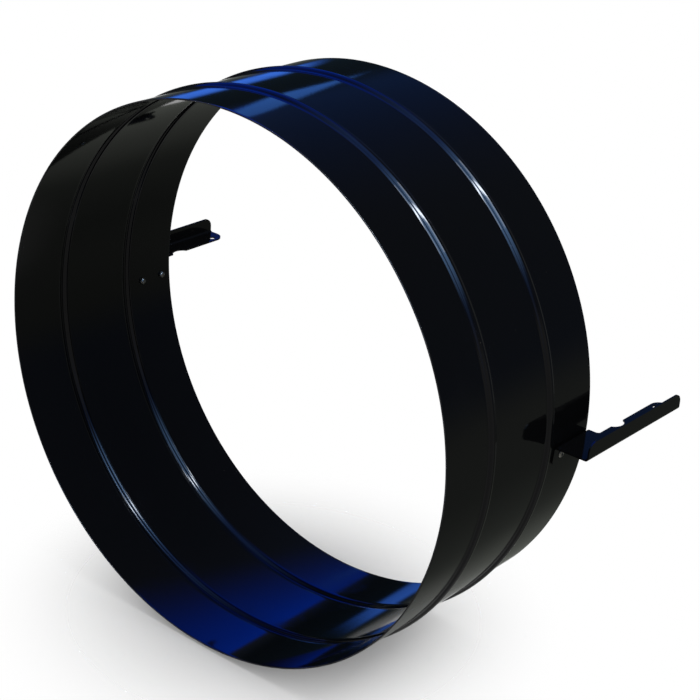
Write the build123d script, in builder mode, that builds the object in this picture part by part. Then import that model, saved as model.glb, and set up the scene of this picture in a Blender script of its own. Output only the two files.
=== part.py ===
from build123d import *
import os
from math import asin, cos, degrees, radians, sin, sqrt

# A 20 inch duct adapter ring of rolled sheet steel, with two riveted sheet brackets.
# Millimetres. The ring's axis is Y: the plain collar opens towards -Y, with the origin at
# the centre of its front rim, and the bracket arms run past the rear rim towards +Y. Z is up.

# Ring: one rolled and welded band with two round beads
ring_diameter = 508.0
ring_width = 202.0
ring_sheet = 1.2
bead_from_rim = 60.0
bead_width = 12.0
bead_height = 3.0
bead_blend_radius = 3.0

# Brackets: a foot on the ring, a level web out from it, and a lip turned up along its edge
bracket_sheet = 1.5
bend_radius = 2.0
web_below_axis = 9.2
lip_reach = 34.5
lip_height = 15.2
lip_corner_radius = 9.0
foot_height = 19.0
foot_length = 50.0
foot_corner_radius = 6.0
arm_length = 96.3
arm_width = 22.2
arm_root_radius = 3.0
arm_corner_radius = 11.5
notch_from_rim = 29.0
notch_radius = 11.0
notch_depth = 5.5
screw_hole_diameter = 6.0
screw_hole_from_edge = 6.0
screw_hole_from_end = 13.0

# Blind rivets, two through each foot
rivet_diameter = 4.0
rivet_pitch = 26.7
rivet_below_web = 9.8
rivet_head_diameter = 7.6
rivet_head_height = 1.5
rivet_bore_diameter = 2.2
rivet_bore_depth = 2.2
rivet_tail_diameter = 6.0
rivet_tail_length = 3.0
rivet_tail_round = 1.6

# Values worked out from the sizes above
ring_radius = ring_diameter / 2
bore_radius = ring_radius - ring_sheet
bead_places = (bead_from_rim, ring_width - bead_from_rim)
web_top = -web_below_axis
web_bottom = web_top - bracket_sheet
lip_face = ring_radius + lip_reach
lip_top = web_top + lip_height
foot_bottom = web_top - foot_height
foot_front = ring_width - foot_length
arm_end = ring_width + arm_length
arm_inner = lip_face - arm_width
foot_middle = ring_width - foot_length / 2
rivet_rows = (foot_middle - rivet_pitch / 2, foot_middle + rivet_pitch / 2)
rivet_angle = degrees(asin((web_top - rivet_below_web) / ring_radius))
cut_margin = 5.0


def rivet_place(angle, row):
    """Where a rivet sits on the ring's outer face: local Z points straight out from the axis."""
    across = ring_radius * cos(radians(angle))
    up = ring_radius * sin(radians(angle))
    return Location((across, row, up), (0, 90 - angle, 0))


right_rivets = [rivet_place(rivet_angle, row) for row in rivet_rows]
left_rivets = [rivet_place(180 - rivet_angle, row) for row in rivet_rows]


def bead(start, middle):
    """Three tangent arcs that carry the sheet out over one bead and back to the ring's face."""
    half = bead_width / 2
    arc_sum = (bead_height**2 + half**2) / (2 * bead_height)
    share = bead_blend_radius / arc_sum
    out = ring_radius + bead_height * share
    rise = TangentArc(start, (out, middle - half * (1 - share)), tangent=(0, 1))
    crown = TangentArc(rise @ 1, (out, middle + half * (1 - share)), tangent=rise % 1)
    fall = TangentArc(crown @ 1, (ring_radius, middle + half), tangent=crown % 1)
    return fall @ 1


# Duct ring: the sheet's section turned about the axis, with its rivet holes drilled
with BuildPart() as duct_ring:
    with BuildSketch():
        with BuildLine():
            with BuildLine(mode=Mode.PRIVATE) as outer_face:
                corner = Vector(ring_radius, 0)
                for middle in bead_places:
                    band = Line(corner, (ring_radius, middle - bead_width / 2))
                    corner = bead(band @ 1, middle)
                Line(corner, (ring_radius, ring_width))
            offset(outer_face.line, amount=ring_sheet, side=Side.LEFT)
        make_face()
    revolve(axis=Axis.Y)
    with Locations(*right_rivets, *left_rivets):
        Cylinder(rivet_diameter / 2, 2 * cut_margin, mode=Mode.SUBTRACT)
duct_ring.part.label = "duct_ring"

# Right bracket: a folded section run from the foot's front edge to the arm's end, then trimmed
section_plane = Plane(origin=(0, foot_front, 0), x_dir=(1, 0, 0), z_dir=(0, -1, 0))
with BuildPart() as bracket_right:
    with BuildSketch(section_plane) as section:
        Circle(ring_radius + bracket_sheet)
        Circle(ring_radius, mode=Mode.SUBTRACT)
        with Locations((ring_radius, web_top - foot_height / 2)):
            Rectangle(ring_radius, foot_height, mode=Mode.INTERSECT)
        with Locations((lip_face, web_top)):
            Rectangle(lip_reach, bracket_sheet, align=(Align.MAX, Align.MAX))
        with Locations((lip_face, lip_top)):
            Rectangle(bracket_sheet, lip_height, align=(Align.MAX, Align.MAX))
        for across, up in ((ring_radius, web_top), (lip_face, web_bottom)):
            fillet(section.vertices().sort_by_distance((across, up))[0], bend_radius + bracket_sheet)
        for across, up in ((ring_radius + bracket_sheet, web_bottom), (lip_face - bracket_sheet, web_top)):
            fillet(section.vertices().sort_by_distance((across, up))[0], bend_radius)
    extrude(amount=foot_front - arm_end)
    # behind the ring only the arm is left, with a round notch in its inner edge
    with BuildSketch(Plane.XY.offset(foot_bottom - cut_margin)) as trimmed:
        with Locations((arm_inner, ring_width)):
            Rectangle(lip_reach, arm_length + cut_margin, align=(Align.MAX, Align.MIN))
        fillet(trimmed.vertices().sort_by_distance((arm_inner, ring_width))[0], arm_root_radius)
        with Locations((arm_inner + notch_depth - notch_radius, ring_width + notch_from_rim)):
            Circle(notch_radius)
    extrude(amount=foot_height + 2 * cut_margin, mode=Mode.SUBTRACT)
    sheet_ends = bracket_right.edges().filter_by(Axis.X).group_by(Axis.Z)
    fillet(sheet_ends[-1], lip_corner_radius)
    fillet(sheet_ends[0], foot_corner_radius)
    arm_tip = bracket_right.edges().filter_by(Axis.Z).group_by(Axis.Y)[-1].sort_by(Axis.X)[0]
    fillet(arm_tip, arm_corner_radius)
    with Locations((arm_inner + screw_hole_from_edge, arm_end - screw_hole_from_end, web_top)):
        Hole(screw_hole_diameter / 2)
    with Locations(*right_rivets):
        Cylinder(rivet_diameter / 2, 2 * cut_margin, mode=Mode.SUBTRACT)
bracket_right.part.label = "bracket_right"

# Left bracket: the same fold made to the other hand
with BuildPart() as bracket_left:
    mirror(bracket_right.part, about=Plane.YZ)
bracket_left.part.label = "bracket_left"

# Rivets: domed hollow head on the foot, shank through both sheets, upset tail inside the ring
tail_radius = rivet_tail_diameter / 2
tail_seat = sqrt(bore_radius**2 - tail_radius**2) - ring_radius
with BuildPart() as rivet:
    with BuildSketch(Plane.XZ):
        with BuildLine():
            head_rim = (rivet_head_diameter / 2, bracket_sheet)
            head_top = (rivet_bore_diameter / 2, bracket_sheet + rivet_head_height)
            bore_floor = bracket_sheet + rivet_head_height - rivet_bore_depth
            tail_end = tail_seat - rivet_tail_length
            Polyline((0, tail_end), (0, bore_floor), (rivet_bore_diameter / 2, bore_floor), head_top)
            TangentArc(head_top, head_rim, tangent=(1, 0))
            tail_side = Polyline(
                head_rim,
                (rivet_diameter / 2, bracket_sheet),
                (rivet_diameter / 2, tail_seat),
                (tail_radius, tail_seat),
                (tail_radius, tail_end + rivet_tail_round),
            )
            TangentArc(tail_side @ 1, (tail_radius - rivet_tail_round, tail_end), tangent=(0, -1))
            Line((tail_radius - rivet_tail_round, tail_end), (0, tail_end))
        make_face()
    revolve(axis=Axis.Z)
with BuildPart() as rivets:
    with Locations(*right_rivets, *left_rivets):
        add(rivet.part)
rivets.part.label = "rivets"

os.makedirs("parts", exist_ok=True)
for piece in (duct_ring, bracket_right, bracket_left, rivets):
    export_step(piece.part, "parts/" + piece.part.label + ".step")
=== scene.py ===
"""A gloss black duct adapter: a beaded ring with two riveted brackets, on a pale studio floor.

The frame holds the solids in metres. The ring's axis is Y, its open front rim is at Y = 0, the
bracket arms run towards +Y, and Z is up. The ring and the rivets are made again here as smooth
numpy surfaces over the same sizes; the brackets are the frame's own solids with a painted finish.
"""

import math

import bpy
import numpy as np
from bpy.props import FloatProperty, FloatVectorProperty, IntProperty, PointerProperty
from bpy.types import Operator, Panel, PropertyGroup
from mathutils import Matrix, Vector


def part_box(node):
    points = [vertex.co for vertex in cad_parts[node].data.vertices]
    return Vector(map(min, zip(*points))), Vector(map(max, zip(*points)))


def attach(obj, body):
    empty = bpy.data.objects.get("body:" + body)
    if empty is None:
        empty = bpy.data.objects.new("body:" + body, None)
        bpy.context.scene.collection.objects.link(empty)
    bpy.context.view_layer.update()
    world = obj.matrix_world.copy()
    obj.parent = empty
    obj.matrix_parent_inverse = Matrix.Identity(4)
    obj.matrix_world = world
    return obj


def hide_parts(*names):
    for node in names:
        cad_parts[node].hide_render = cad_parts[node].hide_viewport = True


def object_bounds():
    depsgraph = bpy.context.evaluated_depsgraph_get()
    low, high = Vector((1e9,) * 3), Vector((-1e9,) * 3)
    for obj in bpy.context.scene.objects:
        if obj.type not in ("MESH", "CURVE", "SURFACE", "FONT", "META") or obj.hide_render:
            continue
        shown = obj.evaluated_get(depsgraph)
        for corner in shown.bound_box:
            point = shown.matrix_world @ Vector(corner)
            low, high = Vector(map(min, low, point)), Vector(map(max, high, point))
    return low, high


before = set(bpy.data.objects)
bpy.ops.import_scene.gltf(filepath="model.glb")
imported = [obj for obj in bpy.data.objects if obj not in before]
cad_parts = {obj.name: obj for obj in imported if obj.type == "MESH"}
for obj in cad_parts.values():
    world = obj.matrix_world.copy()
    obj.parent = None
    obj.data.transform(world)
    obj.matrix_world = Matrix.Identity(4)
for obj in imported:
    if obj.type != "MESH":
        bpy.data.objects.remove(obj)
cad_low, cad_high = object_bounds()
ring_low, ring_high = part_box("duct_ring")
rivets_low, rivets_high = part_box("rivets")

bl_info = {
    "name": "Duct Adapter",
    "version": (1, 0, 0),
    "blender": (4, 5, 0),
    "location": "3D View > Sidebar > Duct Adapter",
    "description": "Builds a painted duct adapter ring, its brackets and rivets, and a pale stage",
    "category": "Object",
}

BODY = "root"
WHITE = (1.0, 1.0, 1.0)

# Lengths in metres that other sizes are worked out from.
HEAD_RADIUS = 0.0038
RING_RADIUS = 0.254
RIVET_DROP = 0.019

# Points along each stretch of the ring's section and of a rivet's outline.
HOLLOW_STEPS = 9
CROWN_STEPS = 21
END_BAND_STEPS = 9
MIDDLE_BAND_STEPS = 11
CORNER_STEPS = 4
LIP_STEPS = 4
DOME_STEPS = 9
TAIL_STEPS = 7
RIVET_TURNS = 40

# Waves around the ring: number, share, phase, and drift of the phase from rim to rim.
WAVES = ((7, 1.0, 0.0, 2.1), (13, 0.7, 0.8, -3.0), (23, 0.5, 1.9, 4.3))

# Rivet head: shares of its radius, of its height and of the hollow's radius, and the dome's power.
LIP_SHARE = 0.12
RIM_SHARE = 0.18
PIN_SHARES = (0.55, 0.96)
DOME_POWER = 2.2

# Finishes: roughness where clean and where smeared, and strength and depth of the fine relief.
RING_GLOSS = (0.06, 0.18)
BRACKET_GLOSS = (0.08, 0.22)
EDGE_ROUGHNESS = 0.40
PAINT_RELIEF = (0.05, 0.0002)
PAINT_SPECULAR = 0.154
METAL_ROUGHNESS = (0.34, 0.58)
METAL_RELIEF = (0.25, 0.00005)
FILM_SHADE = 0.45
FLOOR_ROUGHNESS = 0.9
FLOOR_SPECULAR = 0.1

# Worn rims, partly a painted highlight: how far from the rim the wear and its lighter colour start
# and are full, and the noise that breaks it up.
RIM_START, RIM_FULL = 0.0006, 0.0001
RIM_NOISE_SCALE, RIM_NOISE_DETAIL = 45.0, 3.0
RIM_BREAKS = (0.35, 0.65, 0.25, 1.0)

# Where one part of the surroundings runs into the next, along an axis of the unit direction.
LEFTWARD_X = (-0.45, 0.35)
NEARER_Y = (0.62, 0.74)
CORNER_X, CORNER_Z = (-0.60, -0.35), (0.28, 0.44)
BELOW_Z = (-0.30, 0.0)
GROUND_MIDDLE_X = 0.28
GROUND_ASIDE = (0.12, 0.36)
IN_FRONT_Y = (0.25, 0.50)
LOW_Z = (0.15, 0.35)
AHEAD_Y = (0.86, 0.92)
UNDERFOOT_Z = (-0.86, -0.80)
STRIP_END_Y = (0.08, 0.42)
FACING = (0.0, 0.2)
BACKDROP_HALF, BACKDROP_SOFT = 0.199, 0.007

# Camera's sensor in millimetres; lamp in degrees, metres and watts.
SENSOR_WIDTH = 36
LAMP_AZIMUTH, LAMP_ELEVATION = 90, 60
LAMP_DISTANCE = 2.6
LAMP_SIZE = 1.2
LAMP_POWER = 36


class RingSettings(PropertyGroup):
    """Sizes of the rolled sheet ring."""

    width: FloatProperty(
        name="Width",
        description="Length of the ring along its axis",
        default=ring_high[1] - ring_low[1],
        unit="LENGTH",
    )
    crest_radius: FloatProperty(
        name="Crest Radius",
        description="Radius over the beads, the widest part of the ring",
        default=ring_high[0],
        unit="LENGTH",
    )
    sheet: FloatProperty(
        name="Sheet",
        description="Thickness of the steel",
        default=0.0012,
        unit="LENGTH",
    )
    bead_from_rim: FloatProperty(
        name="Bead From Rim",
        description="Distance of each bead's middle from the nearest rim",
        default=0.060,
        unit="LENGTH",
    )
    bead_width: FloatProperty(
        name="Bead Width",
        description="Width of a bead where it leaves the ring's face",
        default=0.012,
        unit="LENGTH",
    )
    bead_height: FloatProperty(
        name="Bead Height",
        description="Height of a bead over the ring's face",
        default=0.003,
        unit="LENGTH",
    )
    bead_blend: FloatProperty(
        name="Bead Blend",
        description="Radius of the hollow curve at each side of a bead",
        default=0.003,
        unit="LENGTH",
    )
    edge_round: FloatProperty(
        name="Edge Round",
        description="Radius that the paint gives to the cut edges",
        default=0.0003,
        unit="LENGTH",
    )
    ripple: FloatProperty(
        name="Ripple",
        description="Height of the slow waves that rolling leaves in the sheet",
        default=0.00008,
        unit="LENGTH",
    )
    steps_around: IntProperty(
        name="Steps Around",
        description="Number of faces around the ring",
        default=360,
        min=48,
    )


class RivetSettings(PropertyGroup):
    """Sizes and places of the four blind rivets."""

    angle: FloatProperty(
        name="Angle",
        description="Angle of the rivets below the level of the ring's axis",
        default=math.asin(RIVET_DROP / RING_RADIUS),
        subtype="ANGLE",
    )
    seat: FloatProperty(
        name="Seat",
        description="Distance from the axis to the face that the heads sit on",
        default=0.2555,
        unit="LENGTH",
    )
    head_radius: FloatProperty(
        name="Head Radius",
        description="Radius of the domed head",
        default=HEAD_RADIUS,
        unit="LENGTH",
    )
    head_height: FloatProperty(
        name="Head Height",
        description="Height of the head over the bracket's foot",
        default=0.0015,
        unit="LENGTH",
    )
    bore_radius: FloatProperty(
        name="Bore Radius",
        description="Radius of the hollow in the head",
        default=0.0011,
        unit="LENGTH",
    )
    bore_depth: FloatProperty(
        name="Bore Depth",
        description="Depth of the hollow down to the broken pin",
        default=0.0022,
        unit="LENGTH",
    )
    shank_radius: FloatProperty(
        name="Shank Radius",
        description="Radius of the shank through both sheets",
        default=0.0020,
        unit="LENGTH",
    )
    tail_radius: FloatProperty(
        name="Tail Radius",
        description="Radius of the upset tail inside the ring",
        default=0.0030,
        unit="LENGTH",
    )
    tail_length: FloatProperty(
        name="Tail Length",
        description="Length of the tail inside the ring",
        default=0.0030,
        unit="LENGTH",
    )
    tail_round: FloatProperty(
        name="Tail Round",
        description="Radius around the tail's end",
        default=0.0016,
        unit="LENGTH",
    )
    first_row: FloatProperty(
        name="First Row",
        description="Place along the axis of the row nearer the front",
        default=rivets_low[1] + HEAD_RADIUS,
        unit="LENGTH",
    )
    second_row: FloatProperty(
        name="Second Row",
        description="Place along the axis of the row nearer the rear rim",
        default=rivets_high[1] - HEAD_RADIUS,
        unit="LENGTH",
    )


class FinishSettings(PropertyGroup):
    """Colours of the paint and of the bare metal."""

    paint: FloatVectorProperty(
        name="Paint",
        description="Colour of the gloss black paint",
        default=(0.0022, 0.0023, 0.0026),
        subtype="COLOR",
    )
    dust: FloatVectorProperty(
        name="Dust",
        description="Colour of the specks in the paint",
        default=(0.020, 0.020, 0.019),
        subtype="COLOR",
    )
    # Lighter colour along the cut rims: paint worn thin there, and partly a painted highlight of
    # the lit edge.
    worn_edge_and_sheen: FloatVectorProperty(
        name="Worn Edge",
        description="Colour where the paint is thin along a cut edge",
        default=(0.030, 0.031, 0.033),
        subtype="COLOR",
    )
    aluminium: FloatVectorProperty(
        name="Aluminium",
        description="Colour of the rivets' bare metal",
        default=(0.20, 0.195, 0.17),
        subtype="COLOR",
    )


class StageSettings(PropertyGroup):
    """Floor, surroundings and camera."""

    floor_colour: FloatVectorProperty(
        name="Floor Colour",
        description="Colour of the round floor",
        default=(0.86, 0.86, 0.86),
        subtype="COLOR",
    )
    floor_solid: FloatProperty(
        name="Floor Solid",
        description="Radius inside which the floor is fully there",
        default=0.04,
        unit="LENGTH",
    )
    floor_radius: FloatProperty(
        name="Floor Radius",
        description="Radius at which the floor has faded into the surroundings",
        default=0.28,
        unit="LENGTH",
    )
    plain_light: FloatVectorProperty(
        name="Plain Light",
        description="Even light of the studio on matt surfaces",
        default=(0.5, 0.5, 0.5),
        subtype="COLOR",
    )
    pale_side: FloatVectorProperty(
        name="Pale Side",
        description="Surroundings low down in front of the adapter and straight below it",
        default=(0.50, 0.50, 0.50),
        subtype="COLOR",
    )
    upper_side: FloatVectorProperty(
        name="Upper Side",
        description="Surroundings higher up, except far behind the adapter",
        default=(0.10, 0.125, 0.19),
        subtype="COLOR",
    )
    dark_side: FloatVectorProperty(
        name="Dark Side",
        description="Surroundings far behind the adapter, to its right",
        default=(0.055, 0.075, 0.120),
        subtype="COLOR",
    )
    blue_side: FloatVectorProperty(
        name="Blue Side",
        description="Surroundings far behind the adapter, high up to its left",
        default=(0.02, 0.07, 0.26),
        subtype="COLOR",
    )
    dark_corner: FloatVectorProperty(
        name="Dark Corner",
        description="Surroundings behind the adapter, low down to its left",
        default=(0.01, 0.022, 0.035),
        subtype="COLOR",
    )
    ahead_side: FloatVectorProperty(
        name="Straight Ahead",
        description="Surroundings straight behind the adapter, seen through its ring",
        default=(0.18, 0.19, 0.19),
        subtype="COLOR",
    )
    far_ground: FloatVectorProperty(
        name="Far Ground",
        description="Surroundings behind the adapter, below level",
        default=(0.117, 0.127, 0.112),
        subtype="COLOR",
    )
    side_ground: FloatVectorProperty(
        name="Side Ground",
        description="The same ground further to the left and to the right",
        default=(0.176, 0.188, 0.167),
        subtype="COLOR",
    )
    window_blue: FloatVectorProperty(
        name="Blue Window",
        description="Light of the tall window",
        default=(0.0, 0.2, 2.6),
        max=100.0,
        subtype="COLOR",
    )
    window_pale: FloatVectorProperty(
        name="Pale Window",
        description="Light of the small window under the tall one",
        default=(0.15, 0.55, 2.0),
        max=100.0,
        subtype="COLOR",
    )
    window_low: FloatVectorProperty(
        name="Low Window",
        description="Light of the small window near level",
        default=(0.10, 0.38, 1.7),
        max=100.0,
        subtype="COLOR",
    )
    strip_core: FloatVectorProperty(
        name="Strip Light",
        description="Light of the long strip overhead",
        default=(78.0, 86.0, 98.0),
        max=100.0,
        subtype="COLOR",
    )
    strip_glow: FloatVectorProperty(
        name="Strip Glow",
        description="Glow around the strip",
        default=(4.3, 8.0, 14.5),
        max=100.0,
        subtype="COLOR",
    )
    strip_haze: FloatVectorProperty(
        name="Strip Haze",
        description="Wider blue glow around the strip",
        default=(0.40, 1.0, 3.4),
        max=100.0,
        subtype="COLOR",
    )
    camera_place: FloatVectorProperty(
        name="Camera Place",
        description="Where the photograph was taken from",
        default=(0.9649, -1.0263, 0.6820),
        subtype="XYZ",
        unit="LENGTH",
    )
    camera_azimuth: FloatProperty(
        name="Camera Azimuth",
        description="Turn of the view to the right of straight on",
        default=math.radians(38.46),
        subtype="ANGLE",
    )
    camera_elevation: FloatProperty(
        name="Camera Elevation",
        description="Tilt of the view below level",
        default=math.radians(24.26),
        subtype="ANGLE",
    )
    camera_roll: FloatProperty(
        name="Camera Roll",
        description="Roll of the camera about its line of sight",
        default=math.radians(3.96),
        subtype="ANGLE",
    )
    camera_lens: FloatProperty(
        name="Camera Lens",
        description="Focal length in millimetres on a 36 mm sensor",
        default=93.73,
    )


def piece_from_grid(name, points, faces, replaced):
    """A smooth mesh piece from an array of points and an array of quads or triangles.

    Faces are rows of point numbers; a row whose last number repeats its first is a triangle.
    """
    corners = np.where(faces[:, 3] == faces[:, 0], 3, 4)
    keep = np.arange(4)[None, :] < corners[:, None]
    starts = np.concatenate(([0], np.cumsum(corners)[:-1]))
    mesh = bpy.data.meshes.new(name)
    mesh.vertices.add(len(points))
    mesh.vertices.foreach_set("co", points.astype(np.float32).ravel())
    mesh.loops.add(int(corners.sum()))
    mesh.loops.foreach_set("vertex_index", faces[keep].astype(np.int32))
    mesh.polygons.add(len(faces))
    mesh.polygons.foreach_set("loop_start", starts.astype(np.int32))
    mesh.polygons.foreach_set("use_smooth", np.ones(len(faces), bool))
    mesh.update(calc_edges=True)
    if mesh.validate():
        raise RuntimeError(f"{name}: the surface has broken faces")
    piece = bpy.data.objects.new(name, mesh)
    bpy.context.scene.collection.objects.link(piece)
    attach(piece, BODY)
    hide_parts(replaced)
    return piece


def turned_faces(rows, columns):
    """Quads of a grid whose rows are stations along an outline and whose columns close a turn."""
    row = np.arange(rows - 1)[:, None] * columns
    below = row + columns
    column = np.arange(columns)[None, :]
    beside = (column + 1) % columns
    quads = np.stack((row + column, below + column, below + beside, row + beside), -1)
    return quads.reshape(-1, 4)


def bead_outline(ring):
    """One bead as distance along the axis from its middle, rise over the face, and tilt.

    The section is three tangent arcs. A hollow arc of the blend radius leaves the face, a crown
    carries it over the top and a second hollow arc brings it back. With half width w, height h and
    blend b, the crown's radius is (w*w - 2*b*h + h*h) / (2*h), and each arc turns through the
    angle whose sine is w over the sum of the two radii.
    """
    half = ring.bead_width / 2
    height = ring.bead_height
    blend = ring.bead_blend
    crown = (half**2 - 2 * blend * height + height**2) / (2 * height)
    turn = math.asin(half / (blend + crown))
    hollow_turn = np.linspace(0, turn, HOLLOW_STEPS)[:-1]
    crown_turn = np.linspace(-turn, turn, CROWN_STEPS)
    hollow_along = blend * np.sin(hollow_turn) - half
    hollow_rise = blend * (1 - np.cos(hollow_turn))
    along = np.concatenate((hollow_along, crown * np.sin(crown_turn), -hollow_along[::-1]))
    crown_rise = height - crown * (1 - np.cos(crown_turn))
    rise = np.concatenate((hollow_rise, crown_rise, hollow_rise[::-1]))
    tilt = np.concatenate((hollow_turn, -crown_turn, -hollow_turn[::-1]))
    return along, rise, tilt


def flat_stretch(start, end, count):
    """Places along a flat band, closer together towards both of its ends by a cosine rule."""
    share = (1 - np.cos(np.linspace(0, math.pi, count))) / 2
    return start + (end - start) * share


def ring_section(ring):
    """Closed outline of the sheet as columns of distance along the axis and of radius.

    The outer face runs from rim to rim over both beads. The inner face is the same line moved in
    by the sheet's thickness along its own normal, and a quarter circle rounds each cut corner.
    """
    wall = ring.crest_radius - ring.bead_height
    half = ring.bead_width / 2
    along, rise, tilt = bead_outline(ring)
    near, far = ring.bead_from_rim, ring.width - ring.bead_from_rim
    edge = ring.edge_round
    bands = (
        flat_stretch(edge, near - half, END_BAND_STEPS)[:-1],
        flat_stretch(near + half, far - half, MIDDLE_BAND_STEPS)[1:-1],
        flat_stretch(far + half, ring.width - edge, END_BAND_STEPS)[1:],
    )
    place = np.concatenate((bands[0], near + along, bands[1], far + along, bands[2]))
    flat = [np.zeros(len(band)) for band in bands]
    lift = np.concatenate((flat[0], rise, flat[1], rise, flat[2]))
    lean = np.concatenate((flat[0], tilt, flat[1], tilt, flat[2]))
    outer = np.stack((place, wall + lift), -1)
    inner = outer - ring.sheet * np.stack((-np.sin(lean), np.cos(lean)), -1)
    quarter = np.linspace(0, math.pi / 2, CORNER_STEPS)[1:]
    corner = edge * np.stack((np.sin(quarter), 1 - np.cos(quarter)), -1)
    rear_outer = np.array((ring.width - edge, wall)) + corner * (1, -1)
    rear_inner = np.array((ring.width - edge, wall - ring.sheet)) + corner * (1, 1)
    front_inner = np.array((edge, wall - ring.sheet)) + corner * (-1, 1)
    front_outer = np.array((edge, wall)) + corner * (-1, -1)
    return np.concatenate(
        (outer, rear_outer, rear_inner[::-1], inner[::-1], front_inner, front_outer[::-1])
    )


def ring_surface(ring):
    """The section turned about the axis, with the slow waves that rolling leaves in the sheet.

    A point at distance y and radius r goes to (r cos a, y, r sin a) for each angle a. The radius
    gains three waves around the ring, whose phase drifts along the axis.
    """
    section = ring_section(ring)
    angle = np.linspace(0, 2 * math.pi, ring.steps_around, endpoint=False)[None, :]
    along = section[:, :1]
    drift = along / ring.width
    wave = sum(
        share * np.sin(number * angle + phase + shift * drift)
        for number, share, phase, shift in WAVES
    )
    shares = sum(share for number, share, phase, shift in WAVES)
    radius = section[:, 1:] + ring.ripple * wave / shares
    points = np.stack((radius * np.cos(angle), along + 0 * angle, radius * np.sin(angle)), -1)
    closed = np.concatenate((points, points[:1]))
    faces = turned_faces(len(closed), ring.steps_around) % (len(section) * ring.steps_around)
    return points.reshape(-1, 3), faces


def rivet_outline(rivet, sheet_inside):
    """Outline of a set rivet as columns of radius and of height over the bracket's foot.

    From the floor of the hollow it climbs the hollow's wall and rounds its lip. It crosses the
    domed head by a curve that falls as a power of the way out, from lip to rim. Then it goes in
    under the head, down the shank and round the tail.
    """
    top = rivet.head_height
    lip = np.linspace(0, math.pi / 2, LIP_STEPS)
    lip_round = LIP_SHARE * rivet.head_radius
    dome_from = rivet.bore_radius + lip_round
    dome = np.linspace(0, 1, DOME_STEPS)[1:]
    dome_radius = dome_from + (rivet.head_radius - dome_from) * dome
    rim = RIM_SHARE * top
    floor = top - rivet.bore_depth
    bore = np.array([(share * rivet.bore_radius, floor) for share in PIN_SHARES])
    lip_radius = rivet.bore_radius + lip_round * (1 - np.cos(lip))
    wall = np.stack((lip_radius, top - lip_round * (1 - np.sin(lip))), -1)
    head = np.stack((dome_radius, top - (top - rim) * dome**DOME_POWER), -1)
    end = sheet_inside - rivet.tail_length
    under = np.array(
        (
            (rivet.head_radius, 0.0),
            (rivet.shank_radius, 0.0),
            (rivet.shank_radius, sheet_inside),
            (rivet.tail_radius, sheet_inside),
        )
    )
    turn = np.linspace(0, math.pi / 2, TAIL_STEPS)
    tail = np.stack(
        (
            rivet.tail_radius - rivet.tail_round * (1 - np.cos(turn)),
            end + rivet.tail_round * (1 - np.sin(turn)),
        ),
        -1,
    )
    outline = np.concatenate((bore, wall, head, under, tail))
    return outline, floor, end


def rivet_surface(rivet, ring):
    """All four rivets: the outline turned about each rivet's own radial axis, with closed poles.

    A point at radius r, turn t and height h over the seat goes to the seat's centre plus h along
    the outward direction and r cos t, r sin t along the ring's tangent and its axis.
    """
    wall = ring.crest_radius - ring.bead_height - ring.sheet
    outline, floor, end = rivet_outline(rivet, wall - rivet.seat)
    turn = np.linspace(0, 2 * math.pi, RIVET_TURNS, endpoint=False)
    radius, height = outline[:, :1], outline[:, 1:]
    body = np.stack((radius * np.cos(turn), radius * np.sin(turn), height + 0 * turn), -1)
    local = np.concatenate((body.reshape(-1, 3), ((0, 0, floor), (0, 0, end))))
    column = np.arange(RIVET_TURNS)
    beside = (column + 1) % RIVET_TURNS
    last = (len(outline) - 1) * RIVET_TURNS
    floor_pole, end_pole = len(local) - 2, len(local) - 1
    floor_fan = np.stack((column, beside, column * 0 + floor_pole, column), -1)
    end_fan = np.stack((last + beside, last + column, column * 0 + end_pole, last + beside), -1)
    one = np.concatenate((turned_faces(len(outline), RIVET_TURNS), floor_fan, end_fan))
    angle = np.array((-rivet.angle, -rivet.angle, math.pi + rivet.angle, math.pi + rivet.angle))
    row = np.array((rivet.first_row, rivet.second_row) * 2)
    zero = 0 * angle
    out = np.stack((np.cos(angle), zero, np.sin(angle)), -1)
    tangent = np.stack((np.sin(angle), zero, -np.cos(angle)), -1)
    axis = np.array((0.0, 1.0, 0.0))
    centre = rivet.seat * out + row[:, None] * axis
    points = (
        centre[:, None, :]
        + local[None, :, :1] * tangent[:, None, :]
        + local[None, :, 1:2] * axis
        + local[None, :, 2:] * out[:, None, :]
    )
    faces = one[None] + np.arange(len(angle))[:, None, None] * len(local)
    return points.reshape(-1, 3), faces.reshape(-1, 4)


def new_group(name, inputs, outputs):
    """A shader node group with float inputs and outputs, and its two end nodes."""
    tree = bpy.data.node_groups.new(name, "ShaderNodeTree")
    tree.interface.new_socket("Coordinates", in_out="INPUT", socket_type="NodeSocketVector")
    for label, default in inputs:
        socket = tree.interface.new_socket(label, in_out="INPUT", socket_type="NodeSocketFloat")
        socket.default_value = default
    for label in outputs:
        tree.interface.new_socket(label, in_out="OUTPUT", socket_type="NodeSocketFloat")
    return tree, tree.nodes.new("NodeGroupInput"), tree.nodes.new("NodeGroupOutput")


def feed(tree, socket, value):
    """Link a socket to another one, or give it a plain number."""
    if hasattr(value, "links"):
        tree.links.new(value, socket)
    else:
        socket.default_value = value


def math_node(tree, operation, first, second=None, clamp=False):
    """A Math node; an operand is a socket to link or a plain number."""
    node = tree.nodes.new("ShaderNodeMath")
    node.operation = operation
    node.use_clamp = clamp
    for socket, value in zip(node.inputs, (first, second)):
        if value is not None:
            feed(tree, socket, value)
    return node.outputs[0]


def smooth_step(tree, value, low, high, to_low=0.0, to_high=1.0):
    """A Map Range node with a smooth step from low to high."""
    node = tree.nodes.new("ShaderNodeMapRange")
    node.interpolation_type = "SMOOTHSTEP"
    tree.links.new(value, node.inputs["Value"])
    ends = {"From Min": low, "From Max": high, "To Min": to_low, "To Max": to_high}
    for label, number in ends.items():
        feed(tree, node.inputs[label], number)
    return node.outputs["Result"]


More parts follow.
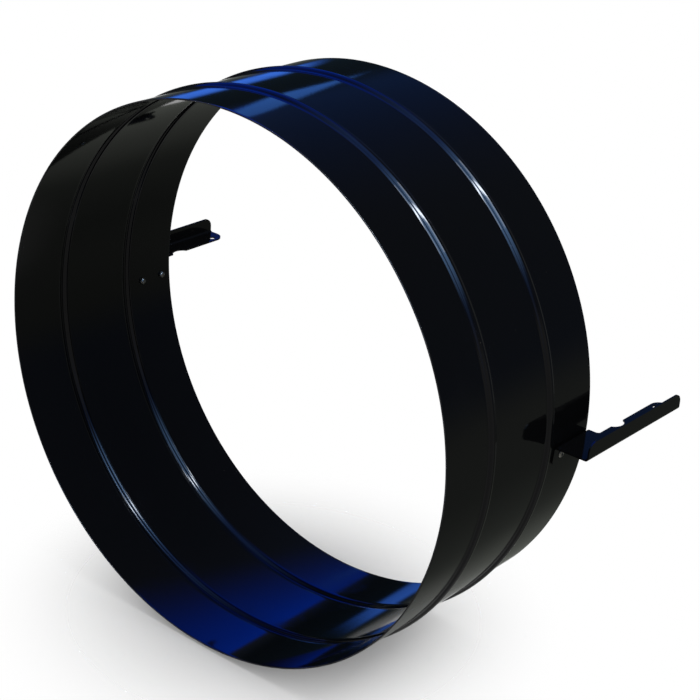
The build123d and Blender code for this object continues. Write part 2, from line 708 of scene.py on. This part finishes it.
def noise(tree, coordinates, scale, detail=2.0, roughness=0.5):
    """A Noise Texture's value."""
    node = tree.nodes.new("ShaderNodeTexNoise")
    tree.links.new(coordinates, node.inputs["Vector"])
    node.inputs["Detail"].default_value = detail
    node.inputs["Roughness"].default_value = roughness
    feed(tree, node.inputs["Scale"], scale)
    return node.outputs["Fac"]


def paint_flow_group():
    """Height of sprayed paint: a fine orange peel over slow runs, both as noise."""
    values = (("Peel Scale", 380.0), ("Run Scale", 26.0), ("Run Share", 0.6))
    tree, start, end = new_group("paint_flow", values, ("Height",))
    peel = noise(tree, start.outputs["Coordinates"], start.outputs["Peel Scale"], detail=1.0)
    run = noise(tree, start.outputs["Coordinates"], start.outputs["Run Scale"], detail=1.0)
    runs = math_node(tree, "MULTIPLY", run, start.outputs["Run Share"])
    tree.links.new(math_node(tree, "ADD", peel, runs), end.inputs["Height"])


def speck_group():
    """Mask of small dust nibs: the middles of cells, kept where a cell's random red is high."""
    values = (("Cell Scale", 60.0), ("Size", 0.035), ("Share", 0.88))
    tree, start, end = new_group("dust_specks", values, ("Mask",))
    cells = tree.nodes.new("ShaderNodeTexVoronoi")
    tree.links.new(start.outputs["Coordinates"], cells.inputs["Vector"])
    tree.links.new(start.outputs["Cell Scale"], cells.inputs["Scale"])
    near = math_node(tree, "LESS_THAN", cells.outputs["Distance"], start.outputs["Size"])
    split = tree.nodes.new("ShaderNodeSeparateColor")
    tree.links.new(cells.outputs["Color"], split.inputs["Color"])
    chosen = math_node(tree, "GREATER_THAN", split.outputs["Red"], start.outputs["Share"])
    tree.links.new(math_node(tree, "MULTIPLY", near, chosen), end.inputs["Mask"])


def handling_group():
    """Mask of dull smears from handling: soft noise, kept only where it peaks."""
    values = (("Scale", 9.0), ("Low", 0.52), ("High", 0.75))
    tree, start, end = new_group("handling_marks", values, ("Mask",))
    place, scale = start.outputs["Coordinates"], start.outputs["Scale"]
    smear = noise(tree, place, scale, detail=4.0, roughness=0.6)
    mask = smooth_step(tree, smear, start.outputs["Low"], start.outputs["High"])
    tree.links.new(mask, end.inputs["Mask"])


def new_material(name):
    """A material with its Principled shader and its Object coordinates."""
    material = bpy.data.materials.new(name)
    material.use_nodes = True
    tree = material.node_tree
    shader = tree.nodes["Principled BSDF"]
    coordinates = tree.nodes.new("ShaderNodeTexCoord").outputs["Object"]
    return material, tree, shader, coordinates


def place_group(tree, group, coordinates, **values):
    """A group node in a material, with its own values."""
    node = tree.nodes.new("ShaderNodeGroup")
    node.node_tree = bpy.data.node_groups[group]
    tree.links.new(coordinates, node.inputs["Coordinates"])
    for label, number in values.items():
        node.inputs[label.replace("_", " ").title()].default_value = number
    return node


def mix_colour(tree, factor, first, second):
    """A colour Mix node; each colour is a socket to link or a plain colour."""
    node = tree.nodes.new("ShaderNodeMix")
    node.data_type = "RGBA"
    tree.links.new(factor, node.inputs["Factor"])
    for socket, colour in zip((node.inputs[6], node.inputs[7]), (first, second)):
        if hasattr(colour, "links"):
            tree.links.new(colour, socket)
        else:
            socket.default_value = (*colour, 1)
    return node.outputs[2]


def add_relief(tree, shader, height, strength, depth):
    """A Bump node that gives a shader the fine relief of a height."""
    bump = tree.nodes.new("ShaderNodeBump")
    bump.inputs["Strength"].default_value = strength
    bump.inputs["Distance"].default_value = depth
    tree.links.new(height, bump.inputs["Height"])
    tree.links.new(bump.outputs["Normal"], shader.inputs["Normal"])


def gloss_black(name, finish, roughness, edge_mask=None):
    """Gloss black paint with orange peel, a few specks, dull smears, and thin paint at cut edges
    whose lighter colour is partly a painted highlight.
    """
    material, tree, shader, coordinates = new_material(name)
    flow = place_group(tree, "paint_flow", coordinates)
    specks = place_group(tree, "dust_specks", coordinates)
    marks = place_group(tree, "handling_marks", coordinates)
    colour = mix_colour(tree, specks.outputs["Mask"], finish.paint, finish.dust)
    rough = smooth_step(tree, marks.outputs["Mask"], 0.0, 1.0, *roughness)
    if edge_mask:
        edge = edge_mask(tree, coordinates)
        # Cut rims get the lighter worn colour, which is partly a painted highlight along the lit
        # edge.
        colour = mix_colour(tree, edge, colour, finish.worn_edge_and_sheen)
        wear = math_node(tree, "MULTIPLY", edge, EDGE_ROUGHNESS)
        rough = math_node(tree, "ADD", rough, wear, clamp=True)
    tree.links.new(colour, shader.inputs["Base Color"])
    tree.links.new(rough, shader.inputs["Roughness"])
    add_relief(tree, shader, flow.outputs["Height"], *PAINT_RELIEF)
    shader.inputs["Specular IOR Level"].default_value = PAINT_SPECULAR
    return material


def rim_mask(width):
    """Mask of the ring's two cut rims, broken up along their length by noise."""

    def build(tree, coordinates):
        split = tree.nodes.new("ShaderNodeSeparateXYZ")
        tree.links.new(coordinates, split.inputs["Vector"])
        half = width / 2
        offset = math_node(tree, "SUBTRACT", split.outputs["Y"], half)
        from_middle = math_node(tree, "ABSOLUTE", offset)
        rim = smooth_step(tree, from_middle, half - RIM_START, half - RIM_FULL)
        grain = noise(tree, coordinates, RIM_NOISE_SCALE, RIM_NOISE_DETAIL)
        broken = smooth_step(tree, grain, *RIM_BREAKS)
        return math_node(tree, "MULTIPLY", rim, broken)

    return build


def dull_aluminium(finish):
    """Bare rivet metal: a darker, duller film in patches, over a finely uneven face."""
    material, tree, shader, coordinates = new_material("rivet_aluminium")
    marks = place_group(tree, "handling_marks", coordinates, scale=420.0, low=0.40, high=0.62)
    flow = place_group(tree, "paint_flow", coordinates, peel_scale=2600.0, run_scale=500.0)
    film = tuple(FILM_SHADE * part for part in finish.aluminium)
    colour = mix_colour(tree, marks.outputs["Mask"], finish.aluminium, film)
    rough = smooth_step(tree, marks.outputs["Mask"], 0.0, 1.0, *METAL_ROUGHNESS)
    tree.links.new(colour, shader.inputs["Base Color"])
    tree.links.new(rough, shader.inputs["Roughness"])
    add_relief(tree, shader, flow.outputs["Height"], *METAL_RELIEF)
    shader.inputs["Metallic"].default_value = 1.0
    return material


def fading_floor(stage):
    """Pale matt floor that turns clear towards its rim, so that it runs into the surroundings."""
    material, tree, shader, coordinates = new_material("pale_floor")
    distance = tree.nodes.new("ShaderNodeVectorMath")
    distance.operation = "LENGTH"
    tree.links.new(coordinates, distance.inputs[0])
    reach = distance.outputs["Value"]
    solid = smooth_step(tree, reach, stage.floor_solid, stage.floor_radius, 1.0, 0.0)
    tree.links.new(solid, shader.inputs["Alpha"])
    shader.inputs["Base Color"].default_value = (*stage.floor_colour, 1)
    shader.inputs["Roughness"].default_value = FLOOR_ROUGHNESS
    shader.inputs["Specular IOR Level"].default_value = FLOOR_SPECULAR
    return material


def direction(azimuth, elevation):
    """Unit vector from degrees to the right of +Y and degrees above level."""
    across, up = math.radians(azimuth), math.radians(elevation)
    return Vector((math.sin(across) * math.cos(up), math.cos(across) * math.cos(up), math.sin(up)))


def stage_windows(stage):
    """The windows: azimuth, elevation, half width and height, their soft edges, and colour."""
    return (
        (-75, 50, 0.50, 0.373, 0.06, 0.015, tuple(stage.window_blue)),
        (-39.4, 22.0, 0.026, 0.064, 0.010, 0.012, tuple(stage.window_pale)),
        (-45.4, 1.2, 0.045, 0.060, 0.016, 0.030, tuple(stage.window_low)),
    )


def stage_strip(stage):
    """The strip light overhead with its two glows, in the same terms as the windows."""
    return (
        (90, 74, 0.70, 0.55, 0.20, 0.25, tuple(stage.strip_haze)),
        (93, 57, 0.64, 0.27, 0.15, 0.20, tuple(stage.strip_glow)),
        (97, 62, 0.54, 0.034, 0.10, 0.026, tuple(stage.strip_core)),
    )


def studio_surroundings(stage, view):
    """World that the gloss black paint mirrors, painted by direction.

    Far behind the adapter it is dark on the right and blue on the left, with a darker corner low
    down and grey ground below. It is pale low down in front and straight below. A white backdrop
    fills the photograph's field of view. Three windows stand to the left, and a strip light with
    two glows hangs overhead on the right. Matt surfaces get one even light instead.
    """
    world = bpy.data.worlds.new("studio")
    bpy.context.scene.world = world
    world.use_nodes = True
    tree = world.node_tree
    ray = tree.nodes.new("ShaderNodeTexCoord").outputs["Generated"]
    split = tree.nodes.new("ShaderNodeSeparateXYZ")
    tree.links.new(ray, split.inputs["Vector"])

    def along(target):
        """Part of the direction that lies along a target, as a socket."""
        node = tree.nodes.new("ShaderNodeVectorMath")
        node.operation = "DOT_PRODUCT"
        tree.links.new(ray, node.inputs[0])
        node.inputs[1].default_value = target
        return node.outputs["Value"]

    def falling(axis, limits):
        """Mask that falls from one to nothing between two limits on an axis of the direction."""
        return smooth_step(tree, split.outputs[axis], *limits, 1.0, 0.0)

    def within(target, half, soft):
        """Mask of the directions with only a small part along a target, with soft edges."""
        offset = math_node(tree, "ABSOLUTE", along(target))
        return smooth_step(tree, offset, half - soft, half + soft, 1.0, 0.0)

    def patch(middle, right, above, half_width, half_height, soft_width, soft_height):
        """Mask of a soft-edged rectangle in the sky, in sines of angles from its middle."""
        wide = within(right, half_width, soft_width)
        tall = within(above, half_height, soft_height)
        facing = smooth_step(tree, along(middle), *FACING)
        return math_node(tree, "MULTIPLY", math_node(tree, "MULTIPLY", wide, tall), facing)

    def window(azimuth, elevation, *shape):
        """Mask of such a rectangle that stands upright."""
        middle = direction(azimuth, elevation)
        right = direction(azimuth + 90, 0)
        return patch(middle, right, right.cross(middle), *shape)

    shade = mix_colour(tree, falling("X", LEFTWARD_X), stage.dark_side, stage.blue_side)
    shade = mix_colour(tree, falling("Y", NEARER_Y), shade, stage.upper_side)
    corner = math_node(tree, "MULTIPLY", falling("X", CORNER_X), falling("Z", CORNER_Z))
    shade = mix_colour(tree, corner, shade, stage.dark_corner)
    offset = math_node(tree, "SUBTRACT", split.outputs["X"], GROUND_MIDDLE_X)
    aside = smooth_step(tree, math_node(tree, "ABSOLUTE", offset), *GROUND_ASIDE)
    ground = mix_colour(tree, aside, stage.far_ground, stage.side_ground)
    shade = mix_colour(tree, falling("Z", BELOW_Z), shade, ground)
    low = falling("Z", LOW_Z)
    ahead = smooth_step(tree, split.outputs["Y"], *AHEAD_Y)
    shade = mix_colour(tree, math_node(tree, "MULTIPLY", ahead, low), shade, stage.ahead_side)
    in_front = math_node(tree, "MULTIPLY", falling("Y", IN_FRONT_Y), low)
    open_side = math_node(tree, "MAXIMUM", in_front, falling("Z", UNDERFOOT_Z))
    shade = mix_colour(tree, open_side, shade, stage.pale_side)
    right, above, behind = view.col
    field = (BACKDROP_HALF, BACKDROP_HALF, BACKDROP_SOFT, BACKDROP_SOFT)
    shade = mix_colour(tree, patch(-behind, right, above, *field), shade, WHITE)
    for *shape, colour in stage_windows(stage):
        shade = mix_colour(tree, window(*shape), shade, colour)
    strip_end = falling("Y", STRIP_END_Y)
    for *shape, colour in stage_strip(stage):
        mask = math_node(tree, "MULTIPLY", window(*shape), strip_end)
        shade = mix_colour(tree, mask, shade, colour)
    path = tree.nodes.new("ShaderNodeLightPath").outputs
    mirrored = math_node(tree, "ADD", path["Is Glossy Ray"], path["Is Transmission Ray"])
    seen = math_node(tree, "ADD", path["Is Camera Ray"], mirrored, clamp=True)
    shade = mix_colour(tree, seen, stage.plain_light, shade)
    tree.links.new(shade, tree.nodes["Background"].inputs["Color"])


def soft_lamp(name, place, target, size, power):
    """A square area lamp that faces a target and that the camera doesn't see."""
    lamp = bpy.data.lights.new(name, "AREA")
    lamp.size = size
    lamp.energy = power
    holder = bpy.data.objects.new(name, lamp)
    holder.location = place
    holder.rotation_euler = (target - place).to_track_quat("-Z", "Y").to_euler()
    holder.visible_camera = False
    bpy.context.scene.collection.objects.link(holder)


class DUCT_OT_ring(Operator):
    """Build the painted ring from its turned section"""

    bl_idname = "duct.ring"
    bl_label = "Duct Ring"
    bl_options = {"REGISTER", "UNDO"}

    def execute(self, context):
        ring = context.scene.duct_ring
        points, faces = ring_surface(ring)
        piece = piece_from_grid("painted_ring", points, faces, "duct_ring")
        finish = context.scene.duct_finish
        material = gloss_black("ring_gloss_black", finish, RING_GLOSS, rim_mask(ring.width))
        piece.data.materials.append(material)
        return {"FINISHED"}


class DUCT_OT_brackets(Operator):
    """Paint the two folded brackets"""

    bl_idname = "duct.brackets"
    bl_label = "Brackets"
    bl_options = {"REGISTER", "UNDO"}

    def execute(self, context):
        finish = context.scene.duct_finish
        material = gloss_black("bracket_gloss_black", finish, BRACKET_GLOSS)
        for name in ("bracket_right", "bracket_left"):
            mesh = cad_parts[name].data
            mesh.materials.clear()
            mesh.materials.append(material)
        return {"FINISHED"}


class DUCT_OT_rivets(Operator):
    """Build the four set rivets"""

    bl_idname = "duct.rivets"
    bl_label = "Rivets"
    bl_options = {"REGISTER", "UNDO"}

    def execute(self, context):
        scene = context.scene
        points, faces = rivet_surface(scene.duct_rivets, scene.duct_ring)
        piece = piece_from_grid("set_rivets", points, faces, "rivets")
        piece.data.materials.append(dull_aluminium(scene.duct_finish))
        return {"FINISHED"}


class DUCT_OT_stage(Operator):
    """Set the floor, the surroundings, the lamp and the camera"""

    bl_idname = "duct.stage"
    bl_label = "Stage"
    bl_options = {"REGISTER", "UNDO"}

    def execute(self, context):
        scene = context.scene
        stage = scene.duct_stage
        scene.view_settings.view_transform = "Standard"
        middle_y = scene.duct_ring.width / 2
        floor_level = cad_low[2]

        reach = stage.floor_radius
        mesh = bpy.data.meshes.new("floor")
        corners = ((-reach, -reach, 0), (reach, -reach, 0), (reach, reach, 0), (-reach, reach, 0))
        mesh.from_pydata(corners, [], [(0, 1, 2, 3)])
        floor = bpy.data.objects.new("floor", mesh)
        floor.location = (0, middle_y, floor_level)
        floor.data.materials.append(fading_floor(stage))
        scene.collection.objects.link(floor)

        camera = bpy.data.cameras.new("camera")
        camera.lens = stage.camera_lens
        camera.sensor_width = SENSOR_WIDTH
        viewer = bpy.data.objects.new("camera", camera)
        turn = Matrix.Rotation(stage.camera_azimuth, 4, "Z")
        tilt = Matrix.Rotation(math.pi / 2 - stage.camera_elevation, 4, "X")
        roll = Matrix.Rotation(stage.camera_roll, 4, "Z")
        view = turn @ tilt @ roll
        viewer.matrix_world = Matrix.Translation(stage.camera_place) @ view
        scene.collection.objects.link(viewer)
        scene.camera = viewer

        studio_surroundings(stage, view.to_3x3())
        middle = Vector((0, middle_y, 0))
        lamp_place = middle + LAMP_DISTANCE * direction(LAMP_AZIMUTH, LAMP_ELEVATION)
        soft_lamp("ceiling_softbox", lamp_place, middle, LAMP_SIZE, LAMP_POWER)
        return {"FINISHED"}


class DUCT_PT_panel(Panel):
    """Buttons that build the adapter and its stage, in order"""

    bl_idname = "DUCT_PT_panel"
    bl_label = "Duct Adapter"
    bl_space_type = "VIEW_3D"
    bl_region_type = "UI"
    bl_category = "Duct Adapter"

    def draw(self, context):
        layout = self.layout
        for operator in (DUCT_OT_ring, DUCT_OT_brackets, DUCT_OT_rivets, DUCT_OT_stage):
            layout.operator(operator.bl_idname)
        for label in SETTINGS:
            group = getattr(context.scene, label)
            for prop in group.bl_rna.properties:
                if not prop.is_readonly and prop.identifier != "name":
                    layout.prop(group, prop.identifier)


SETTINGS = {
    "duct_ring": RingSettings,
    "duct_rivets": RivetSettings,
    "duct_finish": FinishSettings,
    "duct_stage": StageSettings,
}
CLASSES = (
    *SETTINGS.values(),
    DUCT_OT_ring,
    DUCT_OT_brackets,
    DUCT_OT_rivets,
    DUCT_OT_stage,
    DUCT_PT_panel,
)


def register():
    """Register the classes and give each scene its settings."""
    for cls in CLASSES:
        bpy.utils.register_class(cls)
    for label, group in SETTINGS.items():
        setattr(bpy.types.Scene, label, PointerProperty(type=group))


def unregister():
    """Take the settings and the classes away again."""
    for label in SETTINGS:
        delattr(bpy.types.Scene, label)
    for cls in reversed(CLASSES):
        bpy.utils.unregister_class(cls)


def main():
    """Build everything in order."""
    register()
    for build_group in (paint_flow_group, speck_group, handling_group):
        build_group()
    bpy.ops.duct.ring()
    bpy.ops.duct.brackets()
    bpy.ops.duct.rivets()
    bpy.ops.duct.stage()


if __name__ == "__main__":
    main()
